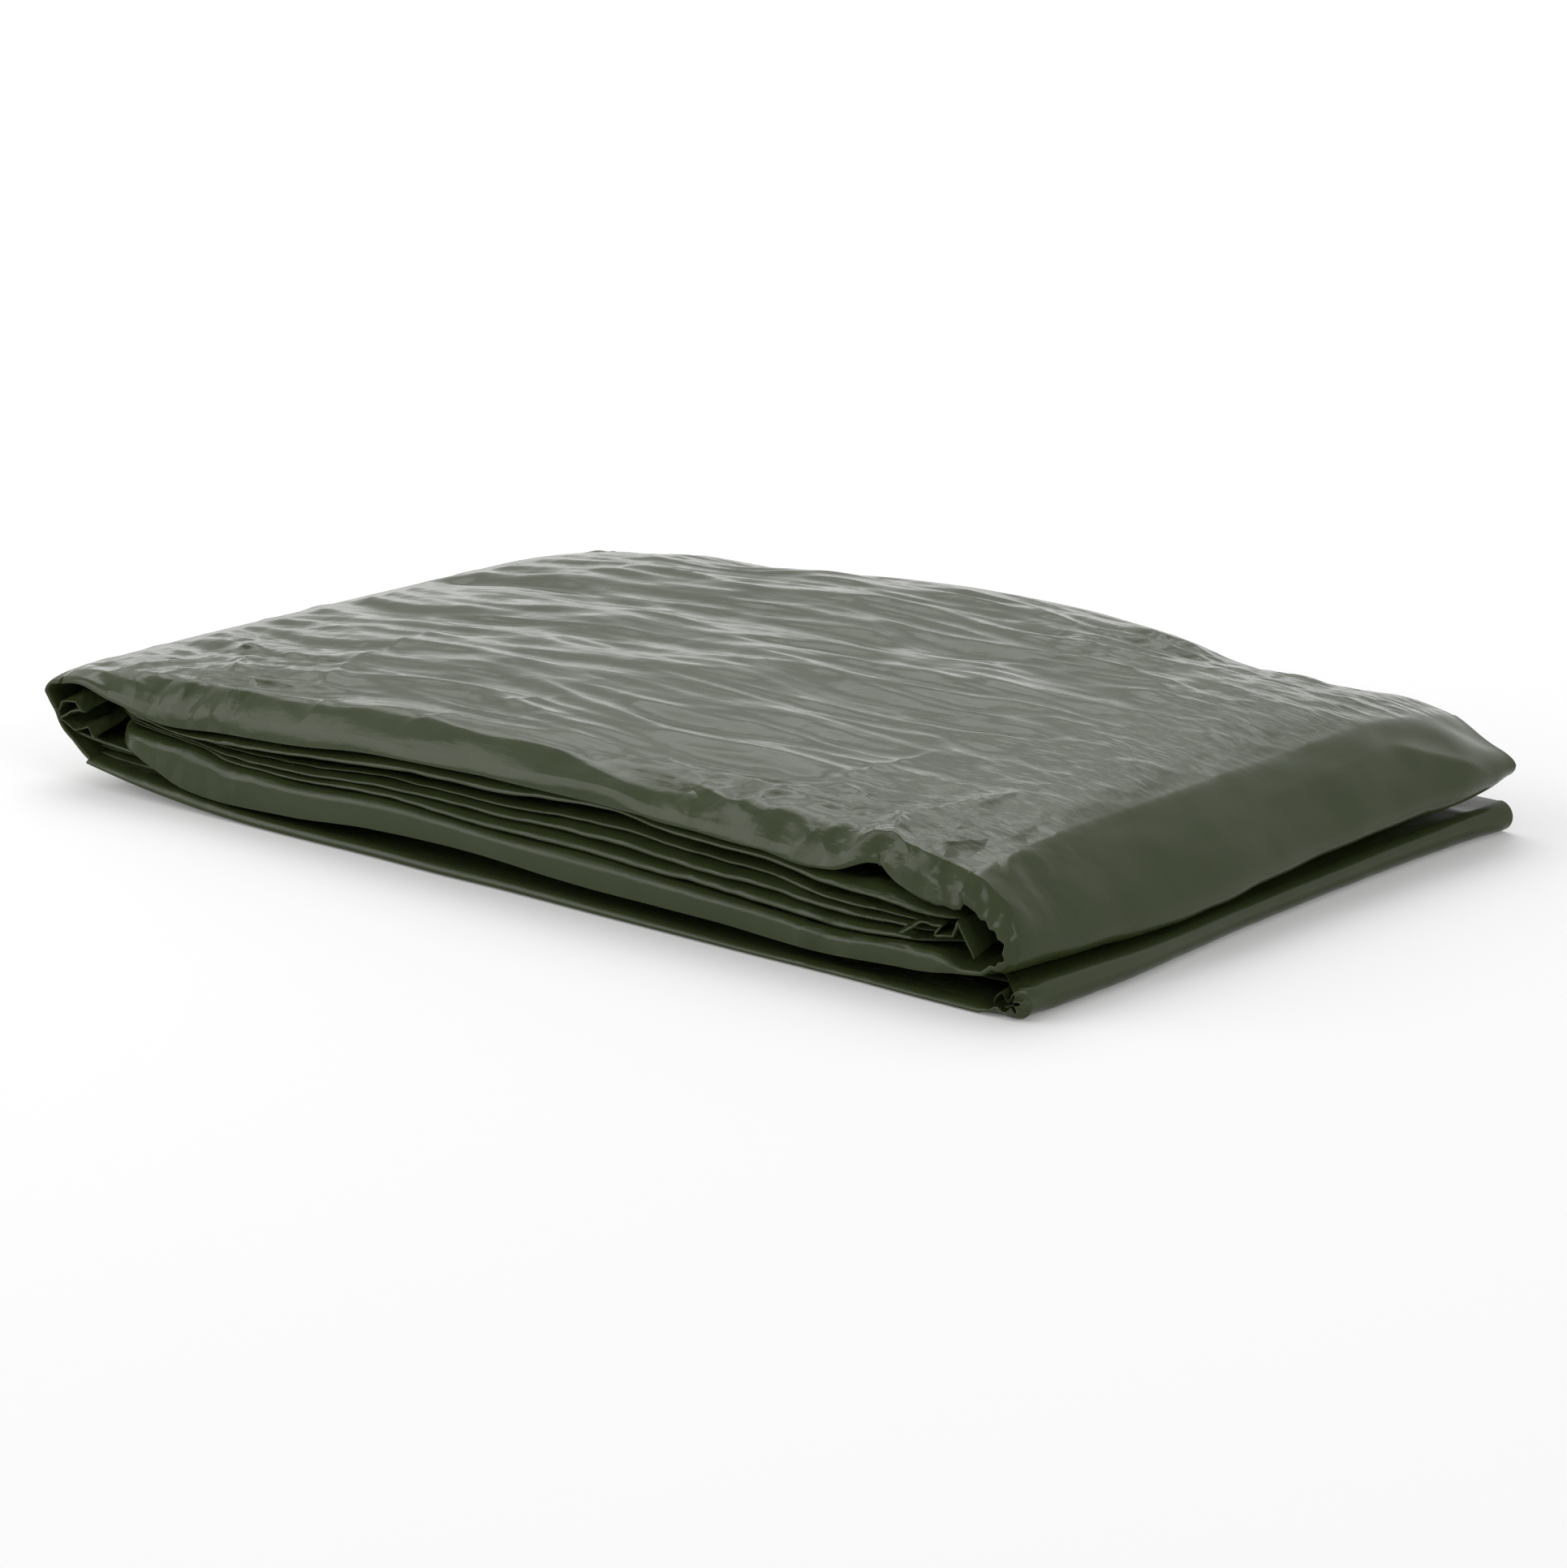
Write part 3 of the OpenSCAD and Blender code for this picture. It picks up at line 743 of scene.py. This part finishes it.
def pleat(name, x0, x1, low, high, set_front, set_back, seed):
    """A flattened tube of film. low(x) and high(x) are its front lip's edges, and it lies level behind."""
    shares = across(96, 0.24)
    rows = int((x1 - x0) / 1.1)
    x = np.linspace(x0, x1, rows)[:, None]
    front = -HALF_W + set_front(x[:, 0]) + 0.5 * noise(x[:, 0] / 19, 0.5, seed)
    front += 0.25 * noise(x[:, 0] / 6, 0.5, seed + 1)
    back = HALF_W - set_back - 0.6 * noise(x[:, 0] / 25, 0.5, seed + 2)
    ys = widths(shares, front, back)
    wave = 0.30 * noise(x / 21, ys / 40, seed + 3) + 0.12 * noise(x / 7, ys / 9, seed + 4)
    top = high(x) + wave
    thick = np.maximum(high(x) - low(x), 0.5) + 0 * ys
    ends = np.minimum(smooth((x - x0) / 4), smooth((x1 - x) / 4))
    thick = thick * (0.12 + 0.88 * ends)
    zs = top - 0.5 * (np.maximum(high(x) - low(x), 0.5) - thick)
    radius, low_share, keep = 2.6 * thick[:, :1], 0.12 + 0 * x, few(len(shares), 60)
    nx, nz = 0 * ys, -1 + 0 * ys
    outer, inner = film_grid(x + 0 * ys, zs, ys, nx, nz, thick, radius, low_share, shares, keep)
    return close(name, outer, inner)


def between(lower, upper, a, b, gap=0.2):
    """Lip edges at the shares a and b of the way from one height line to another."""
    low = lambda x: lower(x) + (upper(x) - lower(x)) * a + gap
    high = lambda x: lower(x) + (upper(x) - lower(x)) * b - gap
    return low, high


def under_top(x):
    """Upper limit of the highest lip, under the top panel's."""
    return np.minimum(top_lip(x), second_lip(x) + 3.2)


def over_middle(x):
    """Lower limit of the lowest lip, on the middle panel."""
    return middle_top(x) + 0.3


# Lips from the highest down: name, the lines they lie between, the shares of that room they fill, their
# ends in x, and how far they stand back from the front along x
LIPS = [
    ("lip_4", second_lip, under_top, (0.0, 1.0), (-136, 142),
     ((-136, 14), (-122, 3), (-60, 1.6), (60, 1.0), (100, 0.8), (126, 1.0), (136, 4), (142, 9))),
    ("lip_3", over_middle, second_lip, (0.58, 0.78), (-137, 141),
     ((-137, 16), (-124, 6), (-50, 5.0), (20, 4.6), (70, 5.2), (110, 3.6), (128, 6), (141, 16))),
    ("lip_2", over_middle, second_lip, (0.31, 0.58), (-138, 142),
     ((-138, 17), (-124, 6), (-60, 3.0), (0, 3.6), (60, 3.0), (100, 3.6), (124, 5), (134, 12), (142, 18))),
    ("lip_1", over_middle, second_lip, (0.0, 0.31), (-139, 144),
     ((-139, 18), (-122, 6), (-70, 3.4), (-10, 2.4), (40, 3.2), (90, 2.8), (122, 3.6), (133, 9), (144, 18))),
]


def build_pleats():
    """The four lips that show between the middle and the top panel, from the highest down."""
    made = []
    for i, (name, below, above, filled, (x0, x1), line) in enumerate(LIPS):
        low, high = between(below, above, *filled)
        setback = lambda x, line=line: track(x, *line)
        made.append(pleat(name, x0, x1, low, high, setback, 2 + 2 * i, 101 + 10 * i))
    return made


def build_lower_pleats():
    """Pleats inside the lower panel, set back in the dark gap."""
    made = []
    for i in (0, 1):
        low = lambda x, i=i: 3.0 + 1.7 * i + 0.75 * curl(x)
        high = lambda x, i=i: 4.4 + 1.7 * i + 0.75 * curl(x)
        setback = lambda x, i=i: track(x, (-136, 5), (-115, 8 + 2 * i), (-80, 15 + 2 * i), (150, 15 + 2 * i))
        name, end = f"inside_pleat_{i + 1}", EDGE_X - 5 - 2 * i
        made.append(pleat(name, BEND_X + 10, end, low, high, setback, 8, 151 + 10 * i))
    return made


# ---------------------------------------------------------------- small pieces

def crimped(name, corners, y0, y1, swing, seed, thick=0.35, ragged=1.2, rise=0.0):
    """Film folded to and fro: flat runs between corners in x and z, which wander and rise along y."""
    corners = np.array(corners, float)
    t = np.linspace(0, len(corners) - 1, 10 * (len(corners) - 1) + 1)[:, None]
    ys = y0 + ragged * noise(t * 0.9, 0.4, seed) + (y1 - y0) * np.linspace(0, 1, 46)[None, :]
    order = np.arange(len(corners))[:, None]
    k = np.minimum(t[:, 0].astype(int), len(corners) - 2)
    share = t - k[:, None]
    grids = []
    for axis in (0, 1):
        spread = corners[:, axis, None] + swing * noise(order * 1.7 + 0.3, ys[:1] / 8, seed + 5 + axis)
        grids.append(spread[k] * (1 - share) + spread[k + 1] * share)
    xs, zs = grids
    nx, nz = row_normals(xs, zs)
    dent = 0.35 * folds(10 * t, ys, 5, seed + 9)
    xs, zs = xs + nx * dent, zs + nz * dent + rise * (ys - y0)
    return close(name, place(xs, ys, zs), place(xs + nx * thick, ys, zs + nz * thick))


# Corners of the small folded pieces, in x and z of the straight packet
LOOP_WAD = [(-146.6, 16.4), (-144.2, 19.8), (-139.4, 21.0), (-135.4, 18.6), (-140.6, 17.6),
            (-144.0, 15.4), (-139.2, 13.6), (-135.8, 14.6), (-132.6, 12.8)]
MOUTH_FLAP = [(121.0, 14.6), (127.0, 17.4), (133.4, 17.8), (131.0, 15.2), (135.6, 15.8),
              (138.0, 20.0), (143.4, 12.7)]
EDGE_WAD = [(147.4, 2.4), (149.2, 5.6), (151.0, 3.0), (152.4, 5.4), (152.8, 2.6), (150.4, 1.9)]


# ---------------------------------------------------------------- assembly


def strip_piece(obj, body, nodes):
    """Puts a film piece on its body, or bakes its place into its mesh where it spans two, in place of its
    CAD nodes.
    """
    if isinstance(body, str):
        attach(obj, body)
    else:
        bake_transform(obj)
    if nodes:
        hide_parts(*nodes)


def build_film():
    """Every piece of film on its body."""
    strip_piece(upper_film(), "upper_pack", ["crown_sheet", "upper_fold", "middle_sheet"])
    x, y = LEFT_X * MM, DRIFT * MM
    high_bend = ((x, y, (LOOP_HIGH_FOLD - 4) * MM), (x, y, (LOOP_HIGH_FOLD + 3) * MM))
    low_bend = ((x, y, (LOOP_LOW_FOLD - 3) * MM), (x, y, (LOOP_LOW_FOLD + 4) * MM))
    strip_piece(loop_film("end_loop_high", 0, 0.5), ("end_loop", "upper_pack", *high_bend),
                ["crown_bend"])
    strip_piece(loop_film("end_loop_low", 0.5, 1), ("lower_panel", "end_loop", *low_bend),
                ["base_bend", "end_loop"])
    strip_piece(lower_film(), "lower_panel", ["base_sheet", "edge_fold", "cover_sheet"])
    nodes = [["pleat_4", "mouth_edge"], ["pleat_3"], ["pleat_2"], ["pleat_1", "foot_weld"]]
    for obj, replaced in zip(build_pleats(), nodes):
        strip_piece(obj, "upper_pack", replaced)
    for i, obj in enumerate(build_lower_pleats()):
        strip_piece(obj, "lower_panel", [f"lower_pleat_{i + 1}"])
    wad = crimped("loop_wad", LOOP_WAD, -HALF_W + 1.2, -HALF_W + 15.2, 0.9, 201, thick=0.5, rise=0.3)
    strip_piece(wad, "upper_pack", ["loop_corner_tuck"])
    flap = crimped("mouth_flap", MOUTH_FLAP, -HALF_W + 1.6, -HALF_W + 12, 0.5, 221, thick=0.6, rise=0.25)
    strip_piece(flap, "upper_pack", [])
    wad = crimped("edge_wad", EDGE_WAD, -HALF_W + 3, -HALF_W + 13.5, 0.35, 211, 0.25, 0.6)
    strip_piece(wad, "lower_panel", ["near_corner_tuck"])


# ---------------------------------------------------------------- camera, light and floor

CAMERA_AT = (0.99531, -1.21283, 0.44397)
CAMERA_AZIMUTH, CAMERA_ELEVATION = 39.26, 15.63
LENS_MM, SENSOR_MM = 150.9, 36.0

WORLD_LIGHT = 0.46      # level of the plain light that the white room gives to dull surfaces
FLOOR_COLOR = (0.92, 0.92, 0.92)
FLOOR_WHITE = 0.12      # lifts the floor to white where it is seen, which lights nothing
FLOOR_HALF = 6.0
FLOOR_ROUGHNESS = 0.8
FLOOR_DROP = 0.0002     # keeps the floor clear of the ground film, in metres

# Lamps: name, where it stands and what it looks at, width and height, all in metres, then power in watts
LAMPS = [
    ("softbox_top", (-0.8, 0.7, 1.5), (0, 0, 0), (1.3, 1.3), 13.5),
    ("softbox_back", (-1.15, 1.40, 0.16), (0, 0, 0.03), (1.7, 0.22), 1.0),
    ("softbox_left", (-1.4, -1.5, 1.05), (0, 0, 0.02), (1.8, 1.3), 18),
    ("softbox_right", (1.9, -0.3, 0.8), (0, 0, 0.02), (0.8, 0.8), 7),
]


def build_camera():
    """Camera at the photograph's viewing angle."""
    cam = bpy.data.cameras.new("camera")
    cam.lens, cam.sensor_width = LENS_MM, SENSOR_MM
    cam.dof.use_dof = False
    cam.clip_end = 50
    obj = bpy.data.objects.new("camera", cam)
    bpy.context.scene.collection.objects.link(obj)
    a, e = np.radians(CAMERA_AZIMUTH), np.radians(CAMERA_ELEVATION)
    back = Vector((np.sin(a) * np.cos(e), -np.cos(a) * np.cos(e), np.sin(e)))
    right = Vector((np.cos(a), np.sin(a), 0))
    rotation = Matrix((right, back.cross(right), back)).transposed()
    obj.matrix_world = Matrix.Translation(CAMERA_AT) @ rotation.to_4x4()
    bpy.context.scene.camera = obj


def area_light(name, at, aim, size, power):
    """Lamp with a rectangular face that looks at a point."""
    light = bpy.data.lights.new(name, "AREA")
    light.shape, light.energy = "RECTANGLE", power
    light.size, light.size_y = size
    obj = bpy.data.objects.new(name, light)
    obj.location = at
    obj.rotation_euler = (Vector(aim) - Vector(at)).to_track_quat("-Z", "Y").to_euler()
    obj.visible_camera = False          # a lamp is never in the picture, from any side
    bpy.context.scene.collection.objects.link(obj)


def seen_rays(tree):
    """1 for what the camera sees straight, mirrored or through something, 0 for light on dull surfaces."""
    rays = tree.nodes.new("ShaderNodeLightPath").outputs
    mirrored = node_math(tree, "MAXIMUM", rays["Is Glossy Ray"], rays["Is Transmission Ray"])
    return node_math(tree, "MAXIMUM", mirrored, rays["Is Camera Ray"])


def build_world():
    """White where the camera, a reflection or a see-through ray meets it, and one plain level elsewhere."""
    world = bpy.data.worlds.new("studio")
    bpy.context.scene.world = world
    world.use_nodes = True
    tree = world.node_tree
    tree.nodes.clear()
    strength = node_math(tree, "MULTIPLY_ADD", seen_rays(tree), 1.0 - WORLD_LIGHT)
    strength.node.inputs[2].default_value = WORLD_LIGHT
    back = tree.nodes.new("ShaderNodeBackground")
    back.inputs["Color"].default_value = (1, 1, 1, 1)
    tree.links.new(strength, back.inputs["Strength"])
    out = tree.nodes.new("ShaderNodeOutputWorld")
    tree.links.new(back.outputs[0], out.inputs["Surface"])


def build_floor():
    """White floor that takes the packet's soft shadow."""
    mesh = bpy.data.meshes.new("floor")
    s = FLOOR_HALF
    mesh.from_pydata([(-s, -s, 0), (s, -s, 0), (s, s, 0), (-s, s, 0)], [], [(0, 1, 2, 3)])
    mat = bpy.data.materials.new("white_floor")
    mat.use_nodes = True
    bsdf = mat.node_tree.nodes["Principled BSDF"]
    bsdf.inputs["Base Color"].default_value = (*FLOOR_COLOR, 1)
    bsdf.inputs["Roughness"].default_value = FLOOR_ROUGHNESS
    bsdf.inputs["Emission Color"].default_value = (1, 1, 1, 1)
    glow = node_math(mat.node_tree, "MULTIPLY", seen_rays(mat.node_tree), FLOOR_WHITE)
    mat.node_tree.links.new(glow, bsdf.inputs["Emission Strength"])
    mesh.materials.append(mat)
    obj = bpy.data.objects.new("floor", mesh)
    obj.location.z = -FLOOR_DROP
    bpy.context.scene.collection.objects.link(obj)


def build_studio():
    """Room, floor and lamps."""
    build_world()
    build_floor()
    for lamp in LAMPS:
        area_light(*lamp)


build_film()
build_camera()
build_studio()
bpy.context.scene.view_settings.view_transform = "Standard"
